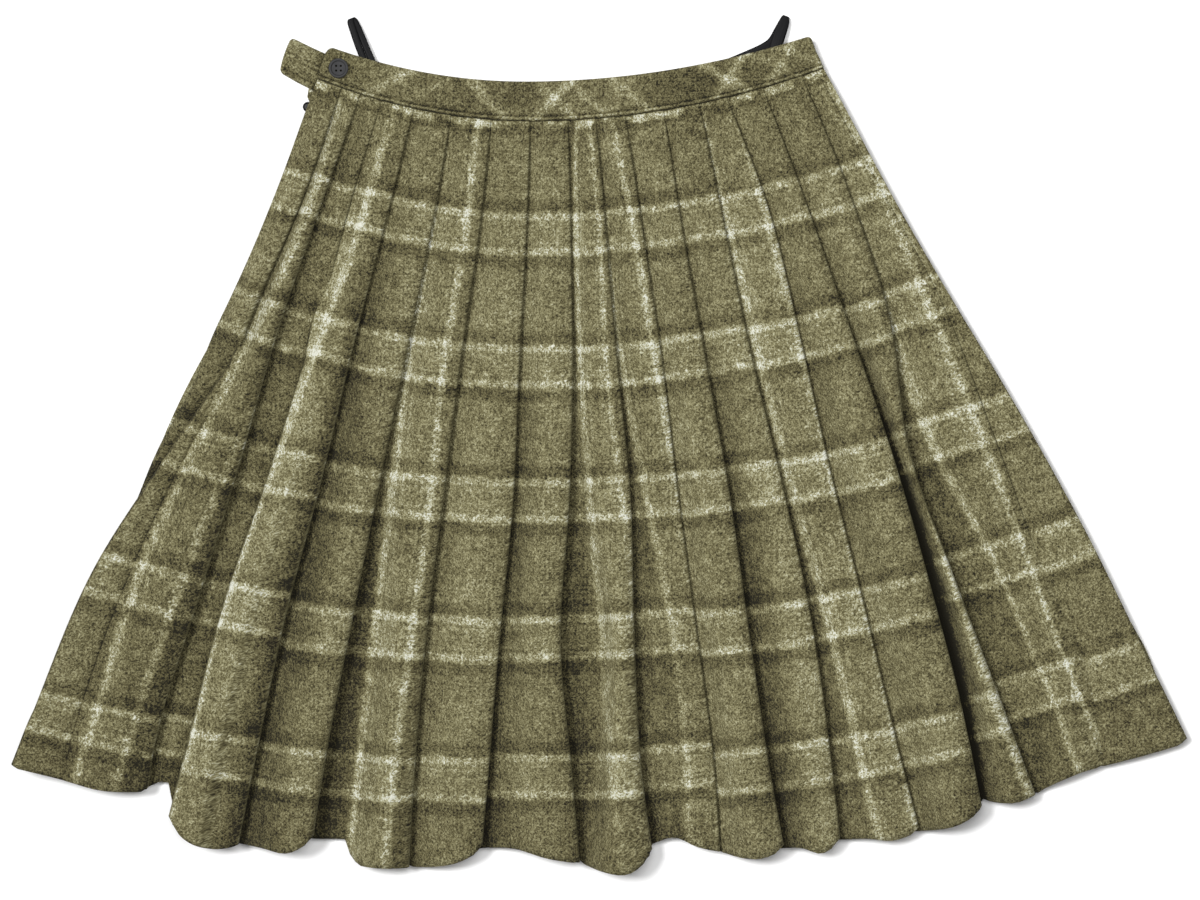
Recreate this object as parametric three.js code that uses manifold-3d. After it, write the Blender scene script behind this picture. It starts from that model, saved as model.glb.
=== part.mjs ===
// A knife-pleated wool skirt laid flat, front side up, with its waist towards +Y.
// Millimetres. X runs across the skirt, Z up from the surface that it lies on.
import * as THREE from 'three';
import { mergeVertices } from 'three/addons/utils/BufferGeometryUtils.js';
import Module from 'manifold-3d';

const wasm = await Module();
wasm.setup();

// Driving dimensions
const CLOTH = 1.6;            // thickness of the pleated cloth
const LAYER_GAP = 0.4;        // air between the layers of one pleat
const SEAM_GAP = 0.3;         // between pieces that are sewn together
const STEP = CLOTH + LAYER_GAP;
const TOP_LEVEL = 2 * STEP;   // a fold edge lies two layers above the cloth under it
const TUCK_DEPTH = 19;        // how far a pleat reaches under the one beside it
const TUCK_SHARE = 0.45;      // and never more than this share of that pleat
const CLEARANCE = 1.5;        // between a climb in the cloth and the fold beside it
const BACK_CLIMB = 7;         // run in which the back's cloth drops to the floor
const BACK_PLEATS = 16;
const BACK_HEM_SHORT = 27;    // the back's hem lies this far inside the front's
const BAND_THICKNESS = 4.2;
const BACK_HEIGHT = TOP_LEVEL + CLOTH;
const FRONT_BASE = BACK_HEIGHT + SEAM_GAP;

// Stations down the skirt, each a curve across it: y = midY + rise (x - midX)^2.
// swell is the share of a pleat's own lift that it has reached there.
const STATIONS = [
  { name: 'seam', midX: -52, midY: 241.5, riseLeft: 0.001245, riseRight: 0.000823, swell: 0 },
  { name: 'band1', midX: -49, midY: 156.8, riseLeft: 0.00097, riseRight: 0.00066, swell: 0 },
  { name: 'band2', midX: -45, midY: 57.8, riseLeft: 0.000836, riseRight: 0.000619, swell: 0.1 },
  { name: 'flare', midX: -44, midY: 32, riseLeft: 0.00076, riseRight: 0.000594, swell: 0.2 },
  { name: 'band3', midX: -41, midY: -41.6, riseLeft: 0.000547, riseRight: 0.000524, swell: 0.45 },
  { name: 'band4', midX: -45, midY: -144.8, riseLeft: 0.000447, riseRight: 0.000458, swell: 0.75 },
  { name: 'band5', midX: -52, midY: -249.8, riseLeft: 0.000352, riseRight: 0.000412, swell: 1 },
  { name: 'hem', midX: -60, midY: -313.5, riseLeft: 0.000487, riseRight: 0.00035, swell: 1 },
];
const HEM = STATIONS.length - 1;

// The front's pleats. at: x of the pleat's left boundary at each station. lift: how far its
// fold edge stands up at the hem. drop: how far its hem hangs below the hem's curve.
const FRONT_PLEATS = [
  { at: [-211.5, -240.8, -279, -280, -318.8, -379.5, -423, -438.7], lift: 3, drop: 2 },
  { at: [-192.8, -221.3, -260.3, -268, -307.5, -354, -390.8, -401.3], lift: 5, drop: -6 },
  { at: [-178.9, -206.6, -239.3, -247, -269, -300, -331, -337.5], lift: 9, drop: 14 },
  { at: [-138.8, -159, -184, -190.2, -208, -234.8, -257.7, -270], lift: 7, drop: 6 },
  { at: [-111, -125.5, -145.2, -150.6, -166, -186.8, -206.4, -213.8], lift: 7, drop: 8 },
  { at: [-81, -90.2, -104.3, -107.5, -116.9, -129.8, -138.8, -142.5], lift: 4, drop: 3 },
  { at: [-51.8, -55, -60.3, -61.4, -64.7, -74.9, -83.5, -87.8], lift: 3, drop: -5 },
  { at: [-23.5, -21.8, -20.3, -20.9, -22.7, -29.3, -20.5, -15], lift: 8, drop: 9 },
  { at: [-2.7, 4.7, 13.4, 15.9, 23, 25.8, 31.4, 39], lift: 4, drop: -9 },
  { at: [19.3, 31.7, 46.5, 49.6, 58.5, 72.2, 85.5, 90], lift: 6, drop: 6 },
  { at: [48, 60.9, 78.4, 83.1, 96.5, 111.3, 126.8, 137.3], lift: 5, drop: 7 },
  { at: [75, 91.8, 112, 118.2, 135.8, 158.3, 173, 179.6], lift: 5, drop: 8 },
  { at: [95.3, 126, 150, 156, 172.9, 198.5, 223, 238.5], lift: 7, drop: 8 },
  { at: [122.3, 152.9, 186.4, 195, 219.6, 248.3, 273.8, 285], lift: 8, drop: 2 },
  { at: [151.5, 185, 216.4, 220.3, 231.4, 264.8, 302.3, 325.5], lift: 7, drop: -2 },
  { at: [161.3, 204, 250.5, 260.1, 287.6, 324, 363.8, 375], lift: 3, drop: 0 },
];
const RIGHT_SIDE = [167.3, 210, 259.1, 273.2, 313.5, 364.5, 410.3, 438.7];
const BACK_LEFT_SIDE = [-193, -222, -276, -294, -327.8, -361, -402, -416];
const BACK_RIGHT_SIDE = [...RIGHT_SIDE.slice(0, HEM), 425];

// Where a pleat opens, a strip of its cloth lies low before the cloth climbs to the crown.
// width: of that strip at each station. drop: as above, for the strip's own hem.
const PLAIN_STRIP = 1.5;
const LOW_STRIPS = {
  2: { width: [14.6, 17.6, 23.6, 23.2, 22.2, 18.6, 22, 13.5], drop: -25 },
  4: { width: [1.5, 1.5, 1.5, 1.5, 2, 20, 25, 25], drop: -10 },
  7: { width: [1.5, 1.5, 1.5, 2, 5, 31, 18, 3], drop: 0 },
  13: { width: [1.5, 1.5, 1.5, 2, 4, 9, 7, 2], drop: 2 },
  14: { width: [1.5, 1.5, 1.5, 2, 8, 27, 18, 8], drop: -2 },
};

// Waistband: its top edge's curve, its ends, and the tab that runs on under its left end
const BAND_TOP = { midX: -56, midY: 271.3, riseLeft: 0.001215, riseRight: 0.00075 };
const BAND_LEFT = { top: -204, bottom: -211.5 };
const BAND_RIGHT = { top: 158.5, bottom: 167.3 };
const BAND_CORNER = 3.5;
const BAND_EDGE_ROUND = 0.9;
const BACK_BAND_LEFT = { top: -192.6, bottom: -198 };
const BACK_BAND_INSET = 1.5;
const BACK_BAND_RIGHT = {
  top: BAND_RIGHT.top - BACK_BAND_INSET,
  bottom: BAND_RIGHT.bottom - BACK_BAND_INSET,
};
const TAB = {
  leftTop: [-231, 304.5],
  leftBottom: [-240, 279],
  rightBottom: [-204, 259.6],
  bandBottom: [-198.4, 268.2],
  bandTop: [-193.4, 287.6],
};
const TAB_CORNER = 2.5;

const BUTTON = { x: -195.5, y: 280.9, radius: 7.4, thickness: 3, edge: 0.5, rim: 1.5, dish: 0.8 };
const BUTTON_HOLES = { radius: 0.85, spread: 1.75 };
const SNAP = { x: -219, y: 252.6, radius: 3.75, thickness: 2.2 };

// The placket's underlap, a row for each station down its two edges
const UNDERLAP = [
  { left: [-218.6, 266.9], right: [-196.9, 255.4] },
  { left: [-219.4, 260.2], right: [-198.3, 251.5] },
  { left: [-217, 255], right: [-200.3, 246] },
  { left: [-221.2, 239.2], right: [-203.6, 237] },
  { left: [-228.8, 216.8], right: [-211.8, 214.5] },
  { left: [-236.6, 195.8], right: [-219, 195] },
];
const UNDERLAP_THICKNESS = 1.8;

// Ribbon loops for hanging, folded over at the tip: rows of x, y, z and width along the middle
// of each strand, the lower one from the waistband to the tip, the upper one from there back
const RIBBON_THICKNESS = 0.4;
const LEFT_LOOP = {
  lower: [
    [-171, 283, 4.75, 5.4], [-176, 296, 4.4, 5.2], [-181.5, 309, 3.2, 5.2], [-185.7, 318.4, 2.4, 4.8],
  ],
  upper: [
    [-185.7, 318.4, 3.2, 4.8], [-183.4, 309, 4.1, 5.2], [-180, 296, 5.2, 5.2], [-175.2, 283, 5.5, 5.4],
  ],
};
const RIGHT_LOOP = {
  lower: [
    [97.5, 287.5, 4.75, 7.6], [113, 291.6, 4.75, 7.6], [124.5, 296, 4.6, 7.8], [132, 302.5, 4, 8.2],
    [136.4, 311, 3.2, 8.4], [138.9, 318.4, 2.5, 5.6], [139.2, 320.35, 2.4, 4.4],
  ],
  upper: [
    [139.2, 320.35, 3.2, 4.4], [138.9, 318.4, 3.4, 5.6], [137.5, 313, 4, 8.2], [134.6, 303.5, 5, 8.2],
    [131.4, 293, 5.5, 8],
  ],
};

const MATERIALS = {
  wool: { color: 0x7a7350, roughness: 0.95, metalness: 0 },
  ribbon: { color: 0x1f1f21, roughness: 0.6, metalness: 0 },
  button: { color: 0x3a3b42, roughness: 0.45, metalness: 0 },
  snap: { color: 0x1b1d20, roughness: 0.35, metalness: 0.6 },
};

const skirt = new THREE.Group();

function addMesh(name, geometry, material) {
  const mesh = new THREE.Mesh(geometry, new THREE.MeshStandardMaterial(MATERIALS[material]));
  mesh.name = name;
  skirt.add(mesh);
  return mesh;
}

function curveHeight(curve, x) {
  const rise = x < curve.midX ? curve.riseLeft : curve.riseRight;
  return curve.midY + rise * (x - curve.midX) ** 2;
}

function mix(a, b, share) {
  return a + (b - a) * share;
}

// A closed solid between two equal grids of points, outer above inner
function gridSolid(outer, inner) {
  const rows = outer.length;
  const columns = outer[0].length;
  const positions = [...outer.flat(), ...inner.flat()].flat();
  const top = (r, c) => r * columns + c;
  const bottom = (r, c) => rows * columns + r * columns + c;
  const index = [];
  const quad = (a, b, c, d) => index.push(a, b, c, a, c, d);
  for (let r = 0; r < rows - 1; r += 1) {
    for (let c = 0; c < columns - 1; c += 1) {
      quad(top(r, c), top(r + 1, c), top(r + 1, c + 1), top(r, c + 1));
      quad(bottom(r, c), bottom(r, c + 1), bottom(r + 1, c + 1), bottom(r + 1, c));
    }
    quad(top(r + 1, 0), top(r, 0), bottom(r, 0), bottom(r + 1, 0));
    const last = columns - 1;
    quad(top(r, last), top(r + 1, last), bottom(r + 1, last), bottom(r, last));
  }
  for (let c = 0; c < columns - 1; c += 1) {
    const last = rows - 1;
    quad(top(0, c), top(0, c + 1), bottom(0, c + 1), bottom(0, c));
    quad(top(last, c + 1), top(last, c), bottom(last, c), bottom(last, c + 1));
  }
  const geometry = new THREE.BufferGeometry();
  geometry.setAttribute('position', new THREE.Float32BufferAttribute(positions, 3));
  geometry.setIndex(signedVolume(positions, index) < 0 ? flipped(index) : index);
  geometry.computeVertexNormals();
  return geometry;
}

function signedVolume(positions, index) {
  let volume = 0;
  const corner = (k) => new THREE.Vector3().fromArray(positions, 3 * index[k]);
  for (let k = 0; k < index.length; k += 3) {
    volume += corner(k).dot(corner(k + 1).cross(corner(k + 2))) / 6;
  }
  return volume;
}

function flipped(index) {
  const result = [];
  for (let k = 0; k < index.length; k += 3) {
    result.push(index[k], index[k + 2], index[k + 1]);
  }
  return result;
}

// The two faces of a wall, square to a middle line in the x-z plane, mitred at its corners
function offsetLine(line, half) {
  const direction = (a, b) => {
    const length = Math.hypot(b.x - a.x, b.z - a.z);
    return { x: (b.x - a.x) / length, z: (b.z - a.z) / length };
  };
  return line.map((point, k) => {
    const before = k > 0 ? direction(line[k - 1], point) : direction(point, line[k + 1]);
    const after = k < line.length - 1 ? direction(point, line[k + 1]) : before;
    const scale = half / (1 + before.x * after.x + before.z * after.z);
    return { x: -(before.z + after.z) * scale, z: (before.x + after.x) * scale };
  });
}

// One station of a pleated wall: each pleat starts low under the one before it, climbs to
// its crown, and turns back at its fold edge to lie over the next. z = 0 is the lowest
// layer's middle. Each point carries the drop of the hem there.
function pleatLine(pleats, climb) {
  const line = [];
  const tuck = (k) => {
    if (k === 0 || k === pleats.length) {
      return 0;
    }
    const before = pleats[k - 1];
    return Math.min(TUCK_DEPTH, TUCK_SHARE * (before.right - before.left - before.strip));
  };
  pleats.forEach((pleat, k) => {
    const crown = TOP_LEVEL + pleat.lift;
    const nextTuck = tuck(k + 1);
    const climbStart = pleat.left + pleat.strip;
    const climbRoom = pleat.right - nextTuck - CLEARANCE - climbStart;
    const climbRun = Math.min(climb, climbRoom);
    const isLast = k === pleats.length - 1;
    if (k > 0) {
      line.push({ x: pleat.left - tuck(k), z: 0, drop: pleat.stripDrop });
    }
    line.push({ x: climbStart, z: 0, drop: pleat.stripDrop });
    line.push({ x: climbStart + 0.35 * climbRun, z: 0.55 * crown, drop: pleat.drop });
    line.push({ x: climbStart + climbRun, z: crown, drop: pleat.drop });
    line.push({ x: pleat.right, z: crown, drop: pleat.drop });
    if (!isLast) {
      const between = (pleat.drop + pleats[k + 1].stripDrop) / 2;
      line.push({ x: pleat.right, z: crown - STEP, drop: between });
      line.push({ x: pleat.right - nextTuck, z: STEP, drop: pleats[k + 1].stripDrop });
    }
  });
  return line;
}

function stationPleats(pleats, rightSide, strips, station) {
  return pleats.map((pleat, k) => {
    const next = k < pleats.length - 1 ? pleats[k + 1].at : rightSide;
    const strip = strips[k];
    return {
      left: pleat.at[station],
      right: next[station],
      strip: strip ? strip.width[station] : PLAIN_STRIP,
      stripDrop: strip ? strip.drop : pleat.drop,
      drop: pleat.drop,
      lift: pleat.lift * STATIONS[station].swell,
    };
  });
}

// The front panel, with its side edges turned down to meet the back's
function frontPanel() {
  const outer = [];
  const inner = [];
  STATIONS.forEach((station, s) => {
    const line = pleatLine(stationPleats(FRONT_PLEATS, RIGHT_SIDE, LOW_STRIPS, s), Infinity);
    const first = line[0];
    const last = line[line.length - 1];
    first.x = FRONT_PLEATS[0].at[s] + PLAIN_STRIP;
    const side = FRONT_PLEATS[0].at[s] + CLOTH / 2;
    const reach = s >= HEM - 1 ? SEAM_GAP - FRONT_BASE - CLOTH / 2 : -CLOTH / 2;
    line.splice(0, 1, { x: side, z: reach, drop: 0 }, { x: side, z: STEP, drop: first.drop });
    last.x -= CLOTH / 2;
    line.push({ x: last.x, z: -CLOTH / 2, drop: 0 });
    const offsets = offsetLine(line, CLOTH / 2);
    const place = (sign) => line.map((point, k) => {
      const x = point.x + sign * offsets[k].x;
      const drop = s === HEM ? point.drop : 0;
      const y = curveHeight(station, x) - drop;
      return [x, y, FRONT_BASE + CLOTH / 2 + point.z + sign * offsets[k].z];
    });
    outer.push(place(1));
    inner.push(place(-1));
  });
  return gridSolid(outer, inner);
}

// The back panel, outer side down: the front's build turned over, so that its pleats lie
// flat on the floor and their tucks lie above them
function backPanel() {
  const outer = [];
  const inner = [];
  STATIONS.forEach((station, s) => {
    const left = BACK_LEFT_SIDE[s];
    const right = BACK_RIGHT_SIDE[s];
    const pleats = [];
    for (let k = 0; k < BACK_PLEATS; k += 1) {
      pleats.push({
        left: mix(-right, -left, k / BACK_PLEATS),
        right: mix(-right, -left, (k + 1) / BACK_PLEATS),
        strip: PLAIN_STRIP,
        lift: 0,
      });
    }
    const line = pleatLine(pleats, BACK_CLIMB);
    const rightEdge = -right + CLOTH / 2;
    line[0].x = rightEdge;
    line[line.length - 1].x -= CLOTH / 2;
    line.unshift({ x: rightEdge, z: -CLOTH / 2 });
    const offsets = offsetLine(line, CLOTH / 2);
    const place = (sign) => line.map((point, k) => {
      const x = -(point.x + sign * offsets[k].x);
      const y = curveHeight(station, x) + (s === HEM ? BACK_HEM_SHORT : 0);
      const z = BACK_HEIGHT - CLOTH / 2 - (point.z + sign * offsets[k].z);
      return [x, y, Math.max(0, z)];
    });
    outer.push(place(1));
    inner.push(place(-1));
  });
  return gridSolid(outer, inner);
}

// A waistband laid along the seam's curve, with softly rounded long edges
function waistband(base, left, right, inset) {
  const columns = 26;
  const across = [
    { share: 0, round: BAND_EDGE_ROUND },
    { share: 0.08, round: 0 },
    { share: 0.92, round: 0 },
    { share: 1, round: BAND_EDGE_ROUND },
  ];
  const outer = [];
  const inner = [];
  across.forEach((row) => {
    const points = (height) => Array.from({ length: columns + 1 }, (_, c) => {
      const bottomX = mix(left.bottom, right.bottom, c / columns);
      const topX = mix(left.top, right.top, c / columns);
      const bottomY = curveHeight(STATIONS[0], bottomX) + SEAM_GAP;
      const toEnd = Math.max(0, Math.min(topX - left.top, right.top - topX));
      const short = Math.max(0, BAND_CORNER - toEnd);
      const corner = BAND_CORNER - Math.sqrt(BAND_CORNER ** 2 - short ** 2);
      const topY = curveHeight(BAND_TOP, topX) - corner - inset;
      return [mix(bottomX, topX, row.share), mix(bottomY, topY, row.share), height];
    });
    outer.push(points(base + BAND_THICKNESS - row.round));
    inner.push(points(base));
  });
  return gridSolid(outer, inner);
}

// The band's tab, a flat strip with its two free corners rounded
function tab() {
  const corner = (point) => new THREE.Vector2(...point);
  const leftTop = corner(TAB.leftTop);
  const leftBottom = corner(TAB.leftBottom);
  const rightBottom = corner(TAB.rightBottom);
  const bandBottom = corner(TAB.bandBottom);
  const bandTop = corner(TAB.bandTop);
  const toward = (from, to) => from.clone().add(to.clone().sub(from).setLength(TAB_CORNER));
  const shape = new THREE.Shape();
  shape.moveTo(bandTop.x, bandTop.y);
  const beforeTop = toward(leftTop, bandTop);
  const afterTop = toward(leftTop, leftBottom);
  const beforeBottom = toward(leftBottom, leftTop);
  const afterBottom = toward(leftBottom, rightBottom);
  shape.lineTo(beforeTop.x, beforeTop.y);
  shape.quadraticCurveTo(leftTop.x, leftTop.y, afterTop.x, afterTop.y);
  shape.lineTo(beforeBottom.x, beforeBottom.y);
  shape.quadraticCurveTo(leftBottom.x, leftBottom.y, afterBottom.x, afterBottom.y);
  shape.lineTo(rightBottom.x, rightBottom.y);
  shape.lineTo(bandBottom.x, bandBottom.y);
  const settings = { depth: BAND_THICKNESS, bevelEnabled: false, curveSegments: 5 };
  return new THREE.ExtrudeGeometry(shape, settings);
}

function underlap() {
  const row = (height) => UNDERLAP.map(({ left, right }) => [[...left, height], [...right, height]]);
  return gridSolid(row(UNDERLAP_THICKNESS), row(0));
}

// A ribbon folded over at its tip: a thin wall swept along its two strands and the turn
function ribbon({ lower, upper }) {
  const up = new THREE.Vector3(0, 0, 1);
  const half = RIBBON_THICKNESS / 2;
  const outer = [];
  const inner = [];
  const addRow = (point, width, side, run) => {
    const normal = side.clone().cross(run).normalize().multiplyScalar(half);
    const reach = side.clone().multiplyScalar(width / 2);
    const corner = (s, n) => point.clone().addScaledVector(reach, s).addScaledVector(normal, n).toArray();
    outer.push([corner(-1, 1), corner(1, 1)]);
    inner.push([corner(-1, -1), corner(1, -1)]);
  };
  const addStrand = (rows, towardsTip) => {
    const middle = rows.map(([x, y, z]) => new THREE.Vector3(x, y, z));
    middle.forEach((point, k) => {
      const before = middle[Math.max(0, k - 1)];
      const after = middle[Math.min(middle.length - 1, k + 1)];
      const run = after.clone().sub(before).normalize();
      const side = run.clone().setZ(0).normalize().cross(up).multiplyScalar(towardsTip);
      addRow(point, rows[k][3], side, run);
    });
  };
  addStrand(lower, 1);
  const [x, y, z, width] = lower[lower.length - 1];
  const [fromX, fromY] = lower[lower.length - 2];
  const ahead = new THREE.Vector3(x - fromX, y - fromY, 0).normalize();
  const radius = (upper[0][2] - z) / 2;
  const middle = new THREE.Vector3(x, y, z + radius);
  for (const angle of [Math.PI / 4, Math.PI / 2, 3 * Math.PI / 4]) {
    const out = ahead.clone().multiplyScalar(Math.sin(angle)).addScaledVector(up, -Math.cos(angle));
    const run = ahead.clone().multiplyScalar(Math.cos(angle)).addScaledVector(up, Math.sin(angle));
    addRow(middle.clone().addScaledVector(out, radius), width, ahead.clone().cross(up), run);
  }
  addStrand(upper, -1);
  return gridSolid(outer, inner);
}

function toSolid(geometry) {
  const bare = geometry.clone();
  bare.deleteAttribute('normal');
  bare.deleteAttribute('uv');
  const merged = mergeVertices(bare, 1e-4);
  const mesh = new wasm.Mesh({
    numProp: 3,
    vertProperties: new Float32Array(merged.attributes.position.array),
    triVerts: new Uint32Array(merged.index.array),
  });
  return new wasm.Manifold(mesh);
}

function toGeometry(solid) {
  const mesh = solid.getMesh();
  const geometry = new THREE.BufferGeometry();
  geometry.setAttribute('position', new THREE.BufferAttribute(new Float32Array(mesh.vertProperties), 3));
  geometry.setIndex(new THREE.BufferAttribute(new Uint32Array(mesh.triVerts), 1));
  geometry.computeVertexNormals();
  return geometry;
}

// A dished button with a raised rim and four sewing holes
function button() {
  const { radius, thickness, edge, rim, dish } = BUTTON;
  const hole = BUTTON_HOLES.radius;
  const spread = BUTTON_HOLES.spread;
  const profile = [
    [0, 0], [radius - edge, 0], [radius, edge], [radius, thickness - edge],
    [radius - edge, thickness], [radius - rim, thickness],
    [radius - rim - dish, thickness - dish], [0, thickness - dish],
  ].map(([r, z]) => new THREE.Vector2(r, z));
  const disc = new THREE.LatheGeometry(profile, 32).rotateX(Math.PI / 2);
  let solid = toSolid(disc);
  for (const [sx, sy] of [[-1, -1], [-1, 1], [1, -1], [1, 1]]) {
    const drill = new THREE.CylinderGeometry(hole, hole, 4 * thickness, 12).rotateX(Math.PI / 2);
    drill.translate(sx * spread, sy * spread, 0);
    solid = solid.subtract(toSolid(drill));
  }
  return toGeometry(solid);
}

function snap() {
  const { radius, thickness } = SNAP;
  const profile = [
    [0, 0], [radius, 0], [radius, 0.5 * thickness], [0.6 * radius, thickness], [0, thickness],
  ].map(([r, z]) => new THREE.Vector2(r, z));
  return new THREE.LatheGeometry(profile, 20).rotateX(Math.PI / 2);
}

addMesh('skirt_front', frontPanel(), 'wool');
addMesh('skirt_back', backPanel(), 'wool');
addMesh('waistband_front', waistband(FRONT_BASE, BAND_LEFT, BAND_RIGHT, 0), 'wool');
addMesh('waistband_back', waistband(0, BACK_BAND_LEFT, BACK_BAND_RIGHT, BACK_BAND_INSET), 'wool');
addMesh('waistband_tab', tab(), 'wool');
addMesh('placket_underlap', underlap(), 'wool');
const snapMesh = addMesh('placket_snap', snap(), 'snap');
snapMesh.position.set(SNAP.x, SNAP.y, UNDERLAP_THICKNESS + SEAM_GAP);
const buttonMesh = addMesh('waist_button', button(), 'button');
buttonMesh.position.set(BUTTON.x, BUTTON.y, FRONT_BASE + BAND_THICKNESS + SEAM_GAP);
addMesh('hanger_loop_left', ribbon(LEFT_LOOP), 'ribbon');
addMesh('hanger_loop_right', ribbon(RIGHT_LOOP), 'ribbon');

export default skirt;
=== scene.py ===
import math

import bpy
import numpy as np
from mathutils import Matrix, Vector


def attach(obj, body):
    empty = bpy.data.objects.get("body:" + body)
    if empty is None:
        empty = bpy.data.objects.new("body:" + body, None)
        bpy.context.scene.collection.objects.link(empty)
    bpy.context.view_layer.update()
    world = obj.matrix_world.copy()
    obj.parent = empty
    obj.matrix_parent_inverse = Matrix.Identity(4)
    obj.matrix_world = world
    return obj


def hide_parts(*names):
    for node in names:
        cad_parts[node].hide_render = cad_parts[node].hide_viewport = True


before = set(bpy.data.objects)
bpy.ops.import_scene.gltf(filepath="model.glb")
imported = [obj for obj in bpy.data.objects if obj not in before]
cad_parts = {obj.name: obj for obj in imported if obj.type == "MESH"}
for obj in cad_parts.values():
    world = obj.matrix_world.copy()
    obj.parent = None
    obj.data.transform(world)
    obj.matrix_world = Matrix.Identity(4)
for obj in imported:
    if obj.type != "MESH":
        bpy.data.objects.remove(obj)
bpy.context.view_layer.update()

# A knife-pleated wool skirt laid flat, seen straight from above. The tables are in
# millimetres, in the frame of the model: x across the skirt, y up to the waist, z up.
MM = 0.001

CLOTH = 1.6
STEP = 2.0  # from one layer of a pleat to the next
TOP_LEVEL = 2 * STEP
FRONT_BASE = 5.9  # underside of the front panel
BACK_HEIGHT = 5.6
TUCK_DEPTH = 19
TUCK_SHARE = 0.45
PLAID_PERIOD = 99
PLAID_PAIR = 26  # between the two pale lines of a pair

# Stations down the skirt: v is the cloth's own distance from the waist seam, and
# y = mid_y + rise (x - mid_x)^2 is the curve that the weft takes across the skirt there
STATION_V = np.array([0, 85, 184, 283, 382, 481, 543])
STATION_CURVES = {
    "mid_x": [-52, -49, -45, -41, -45, -52, -60],
    "mid_y": [241.5, 156.8, 57.8, -41.6, -144.8, -249.8, -313.5],
    "rise_left": [0.001245, 0.00097, 0.000836, 0.000547, 0.000447, 0.000352, 0.000487],
    "rise_right": [0.000823, 0.00066, 0.000619, 0.000524, 0.000458, 0.000412, 0.00035],
}
HEM_CORNER = (3.5, 8)  # how far the hem rises at a fold's rounded edge, and over what
HEM_CORNERS = {0: (2.5, 6), 2: (7.5, 13), 3: (1, 6), 5: (0.3, 4), 7: (1, 8), 8: (6, 11),
               9: (0.5, 4), 13: (3.5, 7), 14: (0.5, 4), 15: (0.3, 4)}
STRIP_CORNER = (7, 12)  # the same where a face comes down beside its low strip,
STRIP_CORNER_FROM = 10  # if that is wider than this
TOP_FOLD_SHADE = (0.3, 2.5)  # how dark the painted shade beside a fold is, and how far it reaches, at the waist and at the hem
HEM_FOLD_SHADE = (0.36, 6)  # at the waist and at the hem
HEM_SHADE = 0.2  # how dark the painted shade grows over the last of the cloth
SEAM_SHADE = 0.7  # painted shadow in the seam under the waistband
SEAM_SHADE_REACH = 1.8
WAIST_SHADE = 0.15  # painted shade from the seam down to WAIST_SHADE_REACH
WAIST_SHADE_REACH = 130
ROW_SPACING = 6.5
HEM_ROWS = 13  # rows of points over the last of the cloth
SEAM_ROWS = [0, 1.2, 2.6, 4.2]
SEAM_ALLOWANCE = 2.5  # the cloth that goes up under the waistband
HIDDEN_HEM_SHORT = 1.5  # how much shorter the layers under a fold hang
SEAM_PRESS = 0.3  # height of the pleats at the waist seam against their own
SEAM_PRESS_REACH = 30
HEM_STRETCH = 1.06  # length laid out for each millimetre of cloth near the hem

# The front's folds from left to right: x of the visible edge at each station, how far that
# edge stands up (at the hip, the middle and the hem), and where given its order by v (1 where
# the left side lies on top, -1 where the right side does) and the painted shade beside it,
# how dark and how far it reaches, at the waist (top_fold_shade) and at the hem (crease)
FOLDS = [
    {"x": {0: -192.8, 85: -221.3, 184: -260.3, 207: -269.5, 215: -274, 283: -318.8,
           382: -379.5, 481: -423, 543: -439.5},
     "lift": (1, 4, 12), "order": {200: 1, 216: -1}, "top_fold_shade": (0.15, 2)},
    {"x": [-178.9, -206.6, -239.3, -269, -300, -331, -337.5], "lift": (2, 5, 4),
     "top_fold_shade": (0.3, 6)},
    {"x": [-164.3, -189, -215.6, -246.8, -281.4, -309, -322], "lift": (1, 6, 14),
     "order": {0: 0.5, 140: 0.3, 200: -1}, "top_fold_shade": (0.1, 3)},
    {"x": [-138.8, -159, -184, -208, -234.8, -257.7, -270], "lift": (1, 5, 7),
     "crease": (0.2, 4)},
    {"x": [-111, -125.5, -145.2, -166, -186.8, -206.4, -213.8], "lift": (1, 6, 13)},
    {"x": [-81, -90.2, -104.3, -116.9, -129.8, -138.8, -142.5], "lift": (1, 4, 5),
     "crease": (0.25, 2)},
    {"x": [-51.8, -55, -60.3, -64.7, -74.9, -83.5, -87.8], "lift": (1, 4, 7), "crease": (0.7, 8)},
    {"x": [-23.5, -21.8, -20.3, -22.7, -29.3, -20.5, -15], "lift": (1, 7, 9), "crease": (0.55, 7)},
    {"x": [-2.7, 4.7, 13.4, 23, 25.8, 31.4, 39], "lift": (1, 5, 10), "crease": (0.6, 8)},
    {"x": [19.3, 31.7, 46.5, 58.5, 72.2, 85.5, 90], "lift": (1, 1, 1.5), "crease": (0.25, 1.8)},
    {"x": [48, 60.9, 78.4, 96.5, 111.3, 126.8, 137.3], "lift": (1, 6, 10), "crease": (0.45, 8)},
    {"x": [75, 91.8, 112, 135.8, 158.3, 173, 179.6], "lift": (1, 4, 6)},
    {"x": [95.3, 126, 150, 172.9, 198.5, 223, 238.5], "lift": (1, 2, 3), "crease": (0.25, 2)},
    {"x": [122.3, 152.9, 186.4, 219.6, 248.3, 273.8, 285], "lift": (1, 10, 13)},
    {"x": [151.5, 185, 216.4, 231.4, 264.8, 302.3, 325.5], "lift": (1, 8, 5), "crease": (0.15, 4)},
    {"x": [161.3, 204, 250.5, 287.6, 324, 363.8, 375], "lift": (1, 2, 0.5),
     "order": {0: 0.35, 200: 0.45, 300: 0.6, 400: 0.15}, "crease": (0.1, 3),
     "top_fold_shade": (0.08, 2)},
]
LEFT_SIDE = {0: -211.5, 85: -240.8, 184: -279, 206: -289, 245: -305.5, 289: -330, 312: -340.5,
             382: -366, 481: -405, 543: -418}
RIGHT_SIDE = [167.3, 210, 259.1, 313.5, 364.5, 410.3, 439]
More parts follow.
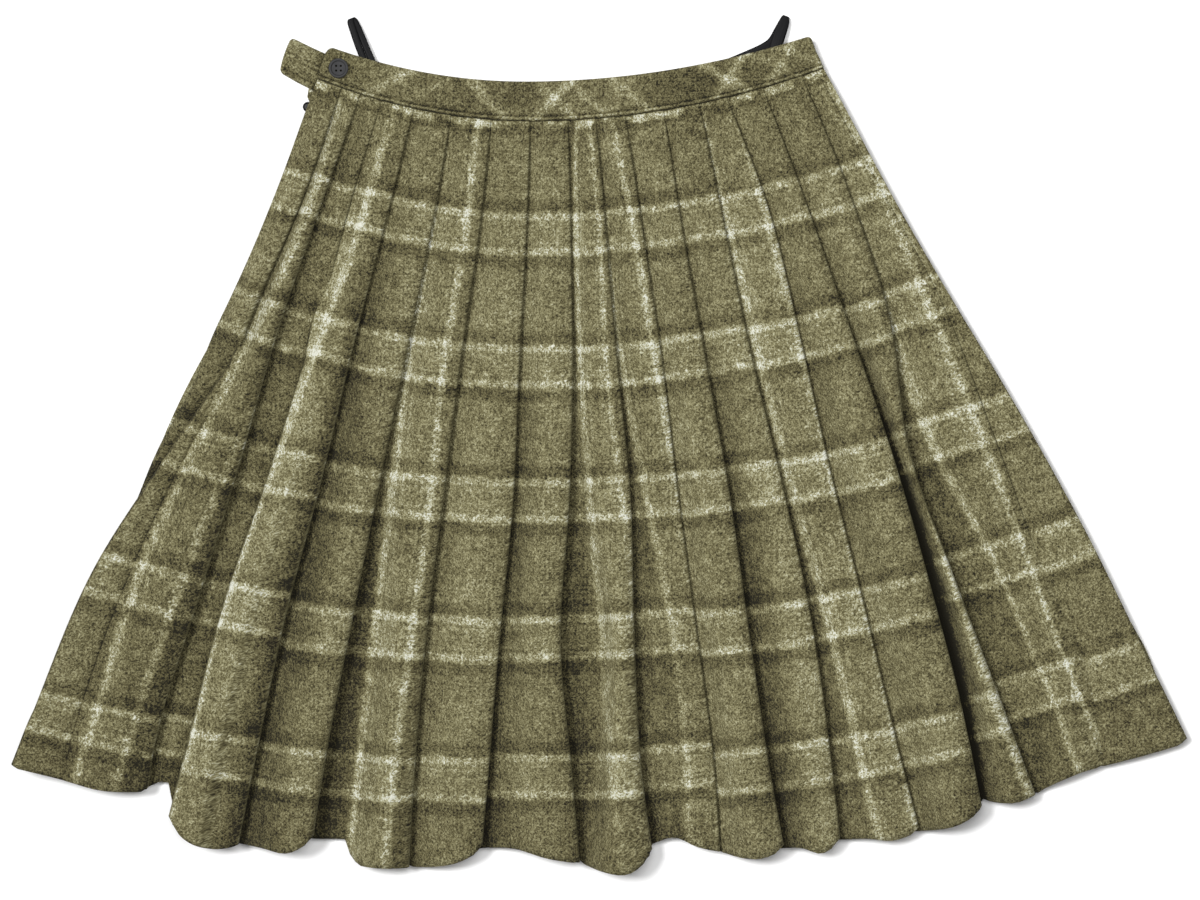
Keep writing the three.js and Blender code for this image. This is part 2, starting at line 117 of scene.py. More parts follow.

# The front's faces between the folds. sag: how far the weft hangs below its curve at each
# station before the hem. hem: the same for the hem's edge, from the left of the face to its
# right. bulge: how round the face is at the hip, the middle and the hem, if not BULGE.
# strip: width of the cloth that lies low at the left of an opened pleat. lines: x of a pale
# warp pair's left and right lines at each station. shade: painted shade at the hem, from the
# left of the face to its right, lighter where it is below 0. shade_from: the v where that
# begins, and the run to its full depth, if not SHADE_FROM. relief: a rise or dip at the same
# four places. strip_hem and strip_shade: the low strip's own hem and painted shade. pale: how
# clear the warp lines are at each station.
SHADE_FROM = (130, 230)
BULGE = (1, 2, 3)
FACES = [
    {"sag": (0, 0, 0, 0, 0, -1), "hem": (-15, -15, -14, -12), "bulge": (1, 2, 2),
     "shade": (0.9, 0.9, 0.9, 0.9)},
    {"sag": (0, -3, 1, 1, 0.5, -3), "hem": (-2.5, -5.7, -7.5, -16), "bulge": (2, 2, 1),
     "shade": (0.0, 0.2, 0.25, 0.9), "shade_from": (20, 200), "relief": (0, -4.5, 3.5, 0),
     "lines": ([-193.5, -214.5, -253.5, -303, -346.5, -378, -392],
               [-166, -187, -226, -276, -316, -350, -363])},
    {"sag": (0, -1, 1.5, 1.5, 1.5, -7), "hem": (-19.5, -24, -26, -26.5), "bulge": (0, 0, 0),
     "shade": (0.4, 0.3, 0.25, 0.3), "shade_from": (10, 120)},
    {"sag": (0, -3, -0.5, 0, -1, 2), "hem": (4.6, 13.3, 14, 8), "bulge": (1, 3, 1),
     "shade": (-0.2, -0.25, 0.15, 1.1), "shade_from": (20, 200), "relief": (0, 2, 1, 0),
     "lines": ([-181, -202, -235, -271, -306, -334, -348],
               [-153.8, -175.5, -208.5, -244.5, -280, -308, -322])},
    {"sag": (0, -1, 1.5, 3.4, 5.5, 4), "hem": (7, 6.2, 6, -6.5),
     "shade": (0.85, 0.5, 0.05, 0.25), "shade_from": (20, 200)},
    {"sag": (0, -0.5, 1.5, 2.6, 3.3, 4.5), "hem": (-1, 7.5, 8.4, 6.3), "bulge": (1, 3, 8),
     "shade": (0.0, -0.05, 0.1, 0.3),
     "strip": [0, 0, 0, 2, 20, 25, 26], "strip_hem": (-6.5, -9.5, -9.4, -8), "strip_shade": 0.65,
     "lines": ([-118.5, -126.5, -142.5, -154.9, -168.8, -181, -187],
               [-91.5, -100.5, -116.6, -127, -141, -155, -161])},
    {"sag": (0, 0, 0.5, 1.7, 2.7, 2), "hem": (6.3, 4.5, 0, -10), "bulge": (1, 2, 2),
     "shade": (0.4, 0.05, 0.0, 0.15)},
    {"sag": (0, 0, 0.4, 0.8, 0.8, -2), "hem": (-11, -11, -4, 0.4), "bulge": (1, 2, 2),
     "shade": (0.45, 0.15, 0.05, 0.35)},
    {"sag": (0, 0.7, 1.2, 0.6, 0, -0.5), "hem": (0.6, 7, 9.3, -1.7), "bulge": (1, 3, 8),
     "shade": (0.0, -0.1, -0.1, 0.1),
     "strip": [0, 0, 0, 5, 31, 16, 2], "strip_hem": (0.6, 1, 1, 1), "strip_shade": 0.3,
     "lines": ([-18, -17.5, -13.9, -6.8, 2, 10, 18], [-8, -0.5, 4.5, 16, 27, 35, 43]),
     "pale": [1, 1, 1, 0.9, 0.6, 0.3, 0.2]},
    {"sag": (0, -1, 1, 0, -0.7, -4), "hem": (-10.7, -14.6, -6, -0.7), "bulge": (1, 2, 2),
     "shade": (0.35, 0.2, 0.05, 0.0),
     "lines": ([-14, 2, 16.5, 35, 54.8, 65, 67.5], [8, 24.8, 41, 58, 79, 91, 94]),
     "pale": [1, 1, 1, 0.9, 0.6, 0.6, 0.7]},
    {"sag": (0, -1.1, -0.5, 1.9, 3.8, 5.2), "hem": (-0.7, 5, 7, 2.5),
     "shade": (0.05, 0.0, 0.05, 0.2)},
    {"sag": (0, -1.2, 0, 1.5, 6, 6.5), "hem": (2.5, 4, 10, 3.6),
     "shade": (0.8, 0.4, -0.15, -0.1)},
    {"sag": (0, 0.4, 1.8, 4, 5.8, 8.6), "hem": (2.9, 5, 10, 7.5),
     "shade": (0.5, 0.1, -0.05, 0.05),
     "lines": ([75, 94.5, 117.8, 142.5, 170.3, 194.3, 209.3],
               [98.3, 123, 147.8, 171.8, 198.4, 222.8, 236.3])},
    {"sag": (0, -1, 2.2, 5.2, 6.8, 8), "hem": (7.5, 8.6, 7.4, 1),
     "shade": (0.2, 0.1, 0.05, 0.35), "shade_from": (0, 130)},
    {"sag": (0, 0.5, 5.2, 2, -1.5, 1.5), "hem": (-5.9, -0.5, 2.3, 0.6), "bulge": (1, 3, 5),
     "shade": (0.35, 0.1, 0.0, 0.1), "shade_from": (0, 130),
     "strip": [0, 0, 1, 4, 6.5, 6.5, 4], "strip_hem": (-5.9, -5.5, -5, -5), "strip_shade": 1.7,
     "lines": ([156, 189, 221, 236, 263, 298, 321], [182, 215, 247, 262, 289, 324, 347])},
    {"sag": (0, 0, 1, -1.3, -2, -6), "hem": (0.4, -3.8, -6.3, -5.8), "bulge": (1, 3, 6),
     "shade": (0.35, 0.2, 0.0, 0.1),
     "strip": [0, 0, 0, 8, 27, 18, 6], "strip_hem": (0.4, -0.5, -3, -5), "strip_shade": 0.1,
     "lines": ([140, 178, 214, 248, 296, 335, 358.5], [165, 206, 243, 281, 318, 353, 380])},
    {"sag": (0, 0, 0, 0, 0, 0), "hem": (-5.8, -4.7, -3.6, -2.8), "bulge": (0.5, 1, 2),
     "shade": (0.2, 0.1, 0.1, 0.15),
     "lines": ([139, 179, 223, 253, 283, 318, 328], [166, 206.5, 249, 280, 310, 345, 355])},
]

# Thin creases in a face, each a dip with painted shade along it: x and how deep each is, by v
CREASES = [
    {"face": 1, "x": {216: -268, 283: -307.5, 382: -354, 481: -390.8, 543: -401.3},
     "depth": {216: 0, 260: 0.5, 382: 0.8, 500: 0.7, 543: 0.1}},
    {"face": 3, "x": {0: -156, 50: -163}, "depth": {0: 0.4, 25: 0.5, 50: 0.0}},
]

# The back's pleats lie on the floor, folded the same way round the body as the front's
BACK_PLEATS = 16
BACK_CLIMB = 8
BACK_LEFT = {0: -193, 85: -222, 184: -276, 210: -294, 283: -327.8, 382: -361, 481: -402, 543: -416}
BACK_RIGHT = [166.3, 208, 257.1, 311.5, 362.5, 408.3, 424]
BACK_HEM_SHORT = 28

# The waistband: its top edge's curve, and x of its ends from the seam up to that edge
BAND_THICKNESS = 4.2
BAND_TOP = {"mid_x": -56, "mid_y": 271.3, "rise_left": 0.001215, "rise_right": 0.00075}
BAND_END_SHARES = [0, 0.2, 0.55, 0.8, 1]
BAND_LEFT = [-211.3, -210.6, -207.6, -205.4, -201.5]
BAND_RIGHT = [167.2, 165.6, 161.6, 159.4, 157.4]
BACK_BAND_LEFT = [-197.5, -197, -195.5, -194, -193]
BACK_BAND_RIGHT = [165.8, 164.2, 160.2, 158, 156]
# Pale lines of the bias cloth: x where each meets the seam, and its strength
RISING_LINES = [(-190, 0.35), (-176, 0.95), (-146, 0.4), (-50.5, 1.1), (1, 0.3), (85, 1.1),
                (125, 0.7), (163, 0.6)]
FALLING_LINES = [(-211, 0.4), (-69.8, 1.0), (-17, 1.0), (8, 0.5), (40, 0.75), (112, 1.1),
                 (150, 0.5), (172, 0.8)]
BUTTON_MIDDLE = (-195.5, 280.9)
BUTTON_SHADOW_RADIUS = 5.5  # radius of the painted shadow under the button
BAND_HEIGHT = 30
BAND_OVERLAP = 0.2  # how far the band reaches below the seam
BAND_CORNERS = ((0.8, 2.5), (0.8, 3.4))

# The tab at the band's left end: points along its upper and lower edges, and where its
# stitch lines run from the lower edge to the upper one
TAB_TOP = [(-231.5, 304.8), (-219, 298.6), (-206, 292.6), (-193.6, 287.4)]
TAB_BOTTOM = [(-240.2, 278.6), (-227.5, 271.2), (-214.5, 264.6), (-199, 267.6)]
TAB_STITCHES = (0.16, 0.5, 0.62)
# The cloth under the placket, down its left and right edges
UNDERLAP = [((-218.4, 266.9), (-196.9, 256)), ((-219.4, 260.2), (-198.3, 251.5)),
            ((-217.2, 255), (-200.3, 246)), ((-221.2, 239.2), (-203.6, 237)),
            ((-228.8, 216.8), (-211.8, 214.5)), ((-236.6, 195.8), (-219, 195))]

RIBBON = 0.4  # thickness
# Ribbon loops: x, y, z and width along the lower strand to the tip and along the upper one back
LEFT_LOOP = [
    (-169, 283, 4.75, 5.0), (-174.6, 296, 4.4, 4.9), (-180, 309, 3.2, 4.9),
    (-183.8, 316.6, 2.5, 4.9), (-186.2, 319, 2.9, 4.6), (-186.9, 316, 3.6, 4.8),
    (-184.4, 308, 4.5, 5.0), (-180.2, 296, 5.3, 5.0), (-174.8, 283, 5.6, 5.0),
]
RIGHT_LOOP = [
    (97.5, 285.3, 4.75, 7.6), (111, 291, 4.75, 7.6), (122.5, 296.2, 4.6, 7.8),
    (129.8, 300.8, 4, 9.2), (135, 309.5, 3.2, 9.2), (138.6, 318.2, 2.6, 6.8),
    (139.5, 320.6, 3.0, 4.6), (138.4, 317.2, 3.7, 7.4), (136, 311, 4.5, 9.2),
    (133.4, 303.5, 5.2, 9.4), (130.5, 293, 5.6, 9.2),
]


def add_object(name, data):
    made = bpy.data.objects.new(name, data)
    bpy.context.scene.collection.objects.link(made)
    return made


def curve_through(knots, values):
    """A smooth function through points, with straight ends."""
    knots = np.asarray(knots, float)
    values = np.asarray(values, float)
    slopes = np.gradient(values, knots)

    def at(x):
        x = np.asarray(x, float)
        k = np.clip(np.searchsorted(knots, x) - 1, 0, len(knots) - 2)
        width = knots[k + 1] - knots[k]
        t = np.clip((x - knots[k]) / width, 0, 1)
        return (
            (1 + 2 * t) * (1 - t) ** 2 * values[k]
            + t * (1 - t) ** 2 * width * slopes[k]
            + t * t * (3 - 2 * t) * values[k + 1]
            + t * t * (t - 1) * width * slopes[k + 1]
        )

    return at


def down_tables(rows, key, missing):
    """A function of v for each row, which is the same all the way down where it isn't given."""
    return [down_skirt(row[key]) if key in row else (lambda v: missing) for row in rows]


def down_skirt(values):
    """A function of v from a row of the tables: a list by station, or a dict by v."""
    if isinstance(values, dict):
        return curve_through(list(values), list(values.values()))
    return curve_through(STATION_V[: len(values)], values)


def three_stage(values):
    """A function of v from values at the hip, the middle and the hem, none at the waist."""
    return curve_through([0, 85, 283, 543], (0, *values))


def across_face(values):
    """A function of the place across a face from four values, evenly spaced."""
    return curve_through([0, 1 / 3, 2 / 3, 1], values)


def smooth(t):
    t = np.clip(t, 0, 1)
    return t * t * (3 - 2 * t)


def bell(t):
    """1 at t = 0, falling softly on both sides."""
    return math.exp(-(t ** 2))


curves = {name: down_skirt(values) for name, values in STATION_CURVES.items()}
SEAM_CURVE = {name: values[0] for name, values in STATION_CURVES.items()}


def curve_y(table, x):
    rise = np.where(x < table["mid_x"], table["rise_left"], table["rise_right"])
    return table["mid_y"] + rise * (x - table["mid_x"]) ** 2


def weft_height(x, v):
    """y of the weft line at distance v from the seam, where it crosses x."""
    return curve_y({name: at(v) for name, at in curves.items()}, np.asarray(x, float))


def values_at(functions, v):
    return [float(f(v)) for f in functions]


class Pleats:
    """A pleated panel's shape: a row of points across it for any v."""

    turn_steps = 5
    inside_steps = 3
    turn_reach = 1.3
    left_edge_level = 0.4
    right_edge_level = TOP_LEVEL * 0.8
    low_down_from = (130, 230)  # v where the opened pleats begin, and the run to their depth
    hem_fold_shade_from = (80, 240)  # the same for the change from TOP_FOLD_SHADE to HEM_FOLD_SHADE
    # A thin crease is a dip in the cloth with painted shade along it
    crease_half_width = 0.9
    crease_dip = 1.3
    crease_shade = 1.1
    crease_points = (-1.2, 0, 1.2)
    least_tuck = 0.6
    climb_margin = 0.5
    least_climb = 1.5
    strip_climb = (9, 0.25)  # length of the climb beside a low strip, and share of the face
    bulge_lean = 0.85
    plain_edge = 8  # least cloth between a face's edge and a hidden line
    past_pair = 20  # beyond this from a pair the cloth runs closer, by this share
    past_pair_share = 0.7
    strip_share = 0.98
    strip_reach = 12
    # painted shade on the cloth inside a fold's turn
    inside_shade = 0.8

    def __init__(self, folds, faces, left, right, climb=None, spacing=3.3, creases=()):
        self.fold_x = [down_skirt(f["x"]) for f in folds]
        self.lift = [three_stage(f["lift"]) for f in folds]
        self.order = down_tables(folds, "order", 1.0)
        self.left = down_skirt(left)
        self.right = down_skirt(right)
        self.sag = [down_skirt(f["sag"]) for f in faces]
        self.bulge = [three_stage(f.get("bulge", BULGE)) for f in faces]
        self.relief = [across_face(f.get("relief", (0, 0, 0, 0))) for f in faces]
        self.shade = [across_face(f.get("shade", (0, 0, 0, 0))) for f in faces]
        self.strip = down_tables(faces, "strip", 0.0)
        self.lines = [
            tuple(down_skirt(side) for side in f["lines"]) if "lines" in f else None for f in faces
        ]
        self.folds = folds
        self.faces = faces
        self.pale = down_tables(faces, "pale", 1.0)
        self.creases = [
            {name: down_skirt(c[name]) for name in ("x", "depth")} | {"face": c["face"]}
            for c in creases
        ]
        self.climb = climb
        edges = self.edges(STATION_V[-1])
        self.steps = [max(9, round((q - p) / spacing)) for p, q in zip(edges, edges[1:])]

    def edges(self, v):
        return values_at([self.left, *self.fold_x, self.right], v)

    def warp(self, face, x, v, left, right):
        """The cloth's own coordinate across, with the pale lines at 0 and PLAID_PAIR."""
        if self.lines[face] is None:
            half_gap = (PLAID_PERIOD - PLAID_PAIR) / 2
            room = max(1.0, (right - left) / 2 / (half_gap - self.plain_edge))
            return PLAID_PAIR + half_gap + (x - (left + right) / 2) / room
        line_left = self.lines[face][0](v)
        line_right = self.lines[face][1](v)
        u = PLAID_PAIR * (x - line_left) / (line_right - line_left)
        past = np.maximum(0, u - PLAID_PAIR - self.past_pair) + np.minimum(0, u + self.past_pair)
        return u - self.past_pair_share * past

    def shade_beside_fold(self, fold, away, v):
        """Painted shadow of a fold on the lower layer, by the distance from the fold."""
        top = self.folds[fold].get("top_fold_shade", TOP_FOLD_SHADE)
        hem = self.folds[fold].get("crease", HEM_FOLD_SHADE)
        start, run = self.hem_fold_shade_from
        share = float(smooth((v - start) / run))
        strength, reach = (a + (b - a) * share for a, b in zip(top, hem))
        return strength * np.exp(-np.clip(away, 0, 99) / reach)

    def turn(self, x, start, end, side, owner, place):
        """Points round a fold's edge from one level to another, out to the right (side 1) or
        to the left (-1)."""
        reach = side * min(self.turn_reach, abs(start - end) / 2)
        for s in range(1, self.turn_steps):
            angle = math.pi * s / self.turn_steps
            z = (start + end) / 2 + (start - end) / 2 * math.cos(angle)
            yield x + reach * math.sin(angle), z, owner, place

    def row(self, v):
        """Points across at v, one column each: x, z, warp coordinate, painted shade, face or place
        between two faces, the face whose hem it follows (-1 under another), place across
        that face, whether it lies in an opened pleat's low strip, and how clear its warp
        lines are."""
        count = len(self.sag)
        edge = np.array(self.edges(v))
        order = np.array([1.0, *values_at(self.order, v), 1.0])
        lift = np.array([0.0, *values_at(self.lift, v), 0.0])
        strip = values_at(self.strip, v)
        width = np.diff(edge)
        start, run = self.low_down_from
        low_down = float(smooth((v - start) / run))
        tuck = [0.0]
        for k in range(1, count):
            above = width[k - 1] - strip[k - 1] if order[k] > 0 else width[k]
            depth = max(self.least_tuck, min(TUCK_DEPTH, TUCK_SHARE * above))
            tuck.append(depth * max(0.05, abs(order[k])))
        tuck = np.array([*tuck, 0.0])
        over, under = np.maximum(0, order), np.maximum(0, -order)
        round_out = self.turn_reach + CLOTH / 2
        turn_a = edge + tuck * (1 - order) / 2 - round_out * over
        turn_b = edge - tuck * (1 + order) / 2 + round_out * under
        end_z = (TOP_LEVEL + lift) * (1 + order) / 2
        start_z = (TOP_LEVEL + lift) * (1 - order) / 2
        points = []
        for k in range(count):
            last = k == count - 1
            x0 = turn_b[k]
            x1 = edge[-1] if last else turn_a[k + 1]
            z0 = self.left_edge_level if k == 0 else start_z[k]
            z1 = self.right_edge_level if last else end_z[k + 1]
            climb_from = edge[k] + strip[k] + tuck[k] * under[k] + self.climb_margin
            climb_to = edge[k + 1] - tuck[k + 1] * over[k + 1] - self.climb_margin
            if self.climb:
                climb_to = min(climb_to, climb_from + self.climb)
            elif strip[k] > 1:
                length, face_share = self.strip_climb
                climb_to = min(climb_to, climb_from + length + face_share * width[k])
            climb_to = max(climb_to, climb_from + self.least_climb)
            x = x0 + (x1 - x0) * np.linspace(0, 1, self.steps[k])
            crease_depth, crease_x = 0.0, 0.0
            for crease in self.creases:
                if crease["face"] == k and crease["depth"](v) > 0.01:
                    crease_depth, crease_x = values_at([crease["depth"], crease["x"]], v)
                    i = int(np.clip(np.argmin(abs(x - crease_x)), 1, len(x) - 2))
                    x[i - 1 : i + 2] = crease_x + np.array(self.crease_points)
            share = smooth((x - climb_from) / (climb_to - climb_from))
            across = np.clip((x - edge[k] - strip[k]) / max(1.0, width[k] - strip[k]), 0, 1)
            z = z0 + (z1 - z0) * share
            z += float(self.bulge[k](v)) * np.sin(math.pi * across ** self.bulge_lean)
            z = np.maximum(z + self.relief[k](across) * low_down, 0)
            u = self.warp(k, x, v, edge[k], edge[k + 1])
            place = np.clip((x - edge[k]) / width[k], 0, 1)
            low = (x < edge[k] + strip[k] * self.strip_share) & (strip[k] > 1)
            # Painted shade across the face, lighter where the table is below 0
            start, run = self.faces[k].get("shade_from", SHADE_FROM)
            shade = self.shade[k](across) * smooth((v - start) / run)
            # A thin crease: a dip in the cloth and painted shade along it
            line = crease_depth * np.exp(-(((x - crease_x) / self.crease_half_width) ** 2))
            z = np.maximum(z - self.crease_dip * line, 0)
            shade = shade + self.crease_shade * line
            # Painted shadow from the fold over this face's left edge, deeper in an opened pleat's
            # low strip
            if k and order[k] > 0:
                near = x - edge[k] - np.minimum(strip[k], self.strip_reach * low_down)
                shade = shade + order[k] * self.shade_beside_fold(k - 1, near, v)
                into_strip = np.exp(-(np.maximum(0, x - edge[k]) / max(1.0, strip[k])) ** 2)
                deeper = self.faces[k].get("strip_shade", 0) * low_down * into_strip
                shade = np.where(low, deeper + shade, shade)
            # Painted shadow from a fold that lies over this face's right edge
            if not last and order[k + 1] < 0:
                shade = shade - order[k + 1] * self.shade_beside_fold(k, edge[k + 1] - x, v)
            pale = float(self.pale[k](v))
            owner = np.where((x < edge[k] - 0.01) | (x > edge[k + 1] + 0.01), -1, k)
            same = np.ones_like(x)
            points += zip(x, z, u, shade, same * k, owner, place, low, same * pale)
            if last:
                continue
            lies_over = order[k + 1] > 0
            x_a, x_b = turn_a[k + 1], turn_b[k + 1]
            u_a = self.warp(k, x_a, v, edge[k], edge[k + 1])
            u_b = self.warp(k + 1, x_b, v, edge[k + 1], edge[k + 2])
            owners = (k, -1) if lies_over else (-1, k + 1)
            inside = list(self.turn(x_a, z1, STEP, 1, owners[0], 1.0))
            for s in range(self.inside_steps + 1):
                inside.append((x_a + (x_b - x_a) * s / self.inside_steps, STEP, -1, 0.5))
            inside += self.turn(x_b, STEP, start_z[k + 1], -1, owners[1], 0.0)
            for s, (xi, zi, owner, place) in enumerate(inside):
                blend = (s + 1) / (len(inside) + 1)
                ui = u_a + (x_a - xi) if lies_over else u_b + (xi - x_b)
                shade_in = 0.0 if owner >= 0 and place > 0.5 else self.inside_shade
                points.append((xi, zi, ui, shade_in, k + blend, owner, place, False, pale))
        return np.array(points, float).T


def face_hem(face, place, low):
    """How far the hem hangs below its curve at a place across a face."""
    row = FACES[face]
    drops = row["strip_hem"] if low and "strip_hem" in row else row["hem"]
    return float(across_face(drops)(place))


def round_rise(corner, away):
    rise, reach = corner
    return rise * (1 - smooth(away / reach)) ** 2


def corner_rise(fold, away):
    """How far a fold's rounded edge, or the side's, lifts the hem at a distance from it."""
    return round_rise(HEM_CORNERS.get(fold, HEM_CORNER), away)


def front_grid():
    """Rows of points down the front: places, the cloth's own coordinates and the painted shade."""
    shape = Pleats(FOLDS, FACES, LEFT_SIDE, RIGHT_SIDE, creases=CREASES)
    last_v, hem_v = float(STATION_V[5]), float(STATION_V[6])

    def weft(x, v, face):
        k = np.floor(face).astype(int)
        after = np.minimum(k + 1, len(FACES) - 1)
        sags = np.array(values_at(shape.sag, min(v, last_v)))
        return weft_height(x, v) - sags[k] - (sags[after] - sags[k]) * (face - k)

    rows = []
    for v in [*SEAM_ROWS, *np.arange(ROW_SPACING, last_v, ROW_SPACING)]:
        x, z, u, shade, face, owner, place, low, pale = shape.row(v)
        # Painted shadow under the waistband's edge and painted shade down from the waist
        shade = shade + SEAM_SHADE * math.exp(-v / SEAM_SHADE_REACH)
        shade = shade + WAIST_SHADE * (1 - smooth(v / WAIST_SHADE_REACH))
        pressed = SEAM_PRESS + (1 - SEAM_PRESS) * smooth(v / SEAM_PRESS_REACH)
        y = weft(x, v, face)
        if v == 0:
            under_band = np.full_like(x, -SEAM_ALLOWANCE)
            rows.append((x, y + SEAM_ALLOWANCE, z * pressed / 2, u, under_band, shade, pale))
        rows.append((x, y, z * pressed, u, np.full_like(x, v), shade, pale))
    for share in np.linspace(0, 1, HEM_ROWS):
        v = last_v + (hem_v - last_v) * share
        x, z, u, shade, face, owner, place, low, pale = shape.row(v)
        edges = shape.edges(v)
        drop = np.empty_like(x)
        for i in range(len(x)):
            seen = int(owner[i])
            here = place[i]
            in_strip = low[i]
            if seen < 0:
                seen = max(0, min(len(FACES) - 1, int(np.searchsorted(edges, x[i])) - 1))
                here = (x[i] - edges[seen]) / (edges[seen + 1] - edges[seen])
                in_strip = x[i] < edges[seen] + float(shape.strip[seen](v)) * shape.strip_share
            drop[i] = face_hem(seen, float(np.clip(here, 0, 1)), in_strip)
            if owner[i] < 0:
                drop[i] -= HIDDEN_HEM_SHORT
                continue
            if seen < len(FOLDS) and float(shape.order[seen](v)) > 0:
                drop[i] -= corner_rise(seen, edges[seen + 1] - x[i])
            if seen and float(shape.order[seen - 1](v)) < 0:
                drop[i] -= corner_rise(seen - 1, x[i] - edges[seen])
            strip = float(shape.strip[seen](v))
            if strip > STRIP_CORNER_FROM and not in_strip:
                drop[i] -= round_rise(STRIP_CORNER, x[i] - edges[seen] - strip)
            if seen == len(FACES) - 1:
                drop[i] -= corner_rise(None, edges[-1] - x[i])
        y_top = weft(x, last_v, face)
        y_hem = weft_height(x, hem_v) - drop
        own_hem_v = last_v + (y_top - y_hem) / HEM_STRETCH
        y = y_top + (y_hem - y_top) * share
        # Painted shade, deeper towards the hem
        shade = shade + HEM_SHADE * share
        rows.append((x, y, z, u, last_v + (own_hem_v - last_v) * share, shade, pale))
    return rows


def soft_noise(x, y, seed, scale):
    """A smooth bumpy field from a few waves, from -1 to 1."""
    random = np.random.default_rng(seed)
    total = np.zeros_like(np.asarray(x, float))
    waves = 7
    for _ in range(waves):
        angle = random.uniform(0, 2 * math.pi)
        length = scale * random.uniform(0.6, 1.7)
        phase = random.uniform(0, 2 * math.pi)
        total += np.sin((x * math.cos(angle) + y * math.sin(angle)) * 2 * math.pi / length + phase)
    return total / math.sqrt(waves)


def mesh_from_grid(name, rows, base):
    """A cloth mesh from rows of (x, y, z, u, v) in millimetres, and where they are given the
    painted shade and how clear the warp lines are."""
    count = len(rows[0][0])
    vertices = []
    uvs = []
    looks = {"fold_shade": [], "line_strength": []}
    for x, y, z, u, v, *look in rows:
        vertices.append(np.stack([x, y, np.asarray(z) + base], axis=1))
        uvs.append(np.stack([u, v], axis=1))
        looks["fold_shade"].append(look[0] if look else np.zeros(count))
        looks["line_strength"].append(look[1] if len(look) > 1 else np.ones(count))
    vertices = np.concatenate(vertices) * MM
    uvs = np.concatenate(uvs) * MM
    faces = []
    for r in range(len(rows) - 1):
        for c in range(count - 1):
            a = r * count + c
            faces.append((a, a + count, a + count + 1, a + 1))
    mesh = bpy.data.meshes.new(name)
    mesh.from_pydata(vertices.tolist(), [], faces)
    layer = mesh.uv_layers.new(name="cloth")
    corners = np.empty(len(mesh.loops), int)
    mesh.loops.foreach_get("vertex_index", corners)
    layer.data.foreach_set("uv", uvs[corners].ravel())
    for look, values in looks.items():
        attribute = mesh.attributes.new(look, "FLOAT", "POINT")
        attribute.data.foreach_set("value", np.concatenate(values))
    mesh.polygons.foreach_set("use_smooth", [True] * len(mesh.polygons))
    mesh.update()
    return add_object(name, mesh)


def thicken(piece, thickness):
    wall = piece.modifiers.new("wall", "SOLIDIFY")
    wall.thickness = thickness * MM
    wall.offset = 0
    wall.use_rim = True


class Graph:
    """Short ways to add and join a material's nodes."""

    def __init__(self, name):
        self.material = bpy.data.materials.new(name)
        self.material.use_nodes = True
        self.tree = self.material.node_tree
        self.shader = self.tree.nodes["Principled BSDF"]

    def node(self, kind, inputs=(), output=0, **settings):
        made = self.tree.nodes.new(kind)
        for key, value in settings.items():
            setattr(made, key, value)
        for key, value in dict(inputs).items():
            self.feed(made.inputs[key], value)
        return made.outputs[output]

    def feed(self, socket, value):
        if isinstance(value, bpy.types.NodeSocket):
            self.tree.links.new(value, socket)
        else:
            socket.default_value = value

    def math(self, operation, a, b=0.0, clamp=False):
        return self.node("ShaderNodeMath", {0: a, 1: b}, operation=operation, use_clamp=clamp)

    def surface(self, inputs):
        """Set the shader's own inputs by name."""
        for key, value in inputs.items():
            self.feed(self.shader.inputs[key], value)

    def plus(self, first, *others):
        for other in others:
            first = self.math("ADD", first, other)
        return first

    def minus(self, a, b, clamp=False):
        return self.math("SUBTRACT", a, b, clamp)

    def times(self, a, b):
        return self.math("MULTIPLY", a, b)

    def apart(self, a, b):
        return self.math("ABSOLUTE", self.minus(a, b))

    def swing(self, noise, amount):
        """A noise around 0, amount wide."""
        return self.times(self.minus(noise, 0.5), amount)

    def step(self, value, low, high, to_min=0.0, to_max=1.0):
        return self.node(
            "ShaderNodeMapRange",
            {"Value": value, "From Min": low, "From Max": high, "To Min": to_min, "To Max": to_max},
            interpolation_type="SMOOTHSTEP",
        )

    def most(self, a, b):
        return self.math("MAXIMUM", a, b)

    def dot(self, vector, way):
        return self.node("ShaderNodeVectorMath", {0: vector, 1: way}, 1, operation="DOT_PRODUCT")

    def fade(self, value, start, end, strength=1.0):
        return self.step(value, start, end, strength, 0.0)

    def mix(self, share, a, b):
        return self.node(
            "ShaderNodeMix", {0: share, 6: a, 7: b}, output=2, data_type="RGBA", clamp_factor=True
        )

    def noise(self, vector, scale, detail=2.0, dimensions="2D"):
        return self.node(
            "ShaderNodeTexNoise", {"Vector": vector, "Scale": scale, "Detail": detail},
            noise_dimensions=dimensions,
        )

    def shifted(self, vector, offset):
        return self.node("ShaderNodeVectorMath", {0: vector, 1: offset}, operation="ADD")


def srgb(red, green, blue):
    """A linear colour from one given as it is seen, 0 to 255."""
    def linear(c):
        c /= 255
        return c / 12.92 if c <= 0.04045 else ((c + 0.055) / 1.055) ** 2.4
    return (linear(red), linear(green), linear(blue), 1.0)


# The wool from its deepest shade to its palest fibre
WOOL_TONES = [
    (0.0, srgb(26, 24, 15)),
    (0.25, srgb(72, 67, 43)),
    (0.5, srgb(104, 99, 70)),
    (0.7, srgb(138, 134, 102)),
    (0.85, srgb(166, 165, 140)),
    (1.0, srgb(194, 195, 182)),
]
SHEEN = srgb(170, 165, 130)
# How much of the tone, from 0 to 1, each part of the wool makes up
BASE_TONE = 0.395
BIAS_BASE_TONE = 0.29
CURL_TONE = 0.3
DARK_CURL_TONE = 0.24
SPECK_TONE = 0.35
LUMP_TONE = 0.3
PATCH_TONE = 0.2
OUTSIDE_TONE = 0.13  # the darker ground just outside a pair of lines
INSIDE_TONE = 0.035  # the ground inside a pair
LINE_TONE = 0.42
# How much the painted shade and light from the mesh change the tone
PAINTED_SHADE_TONE = 0.36
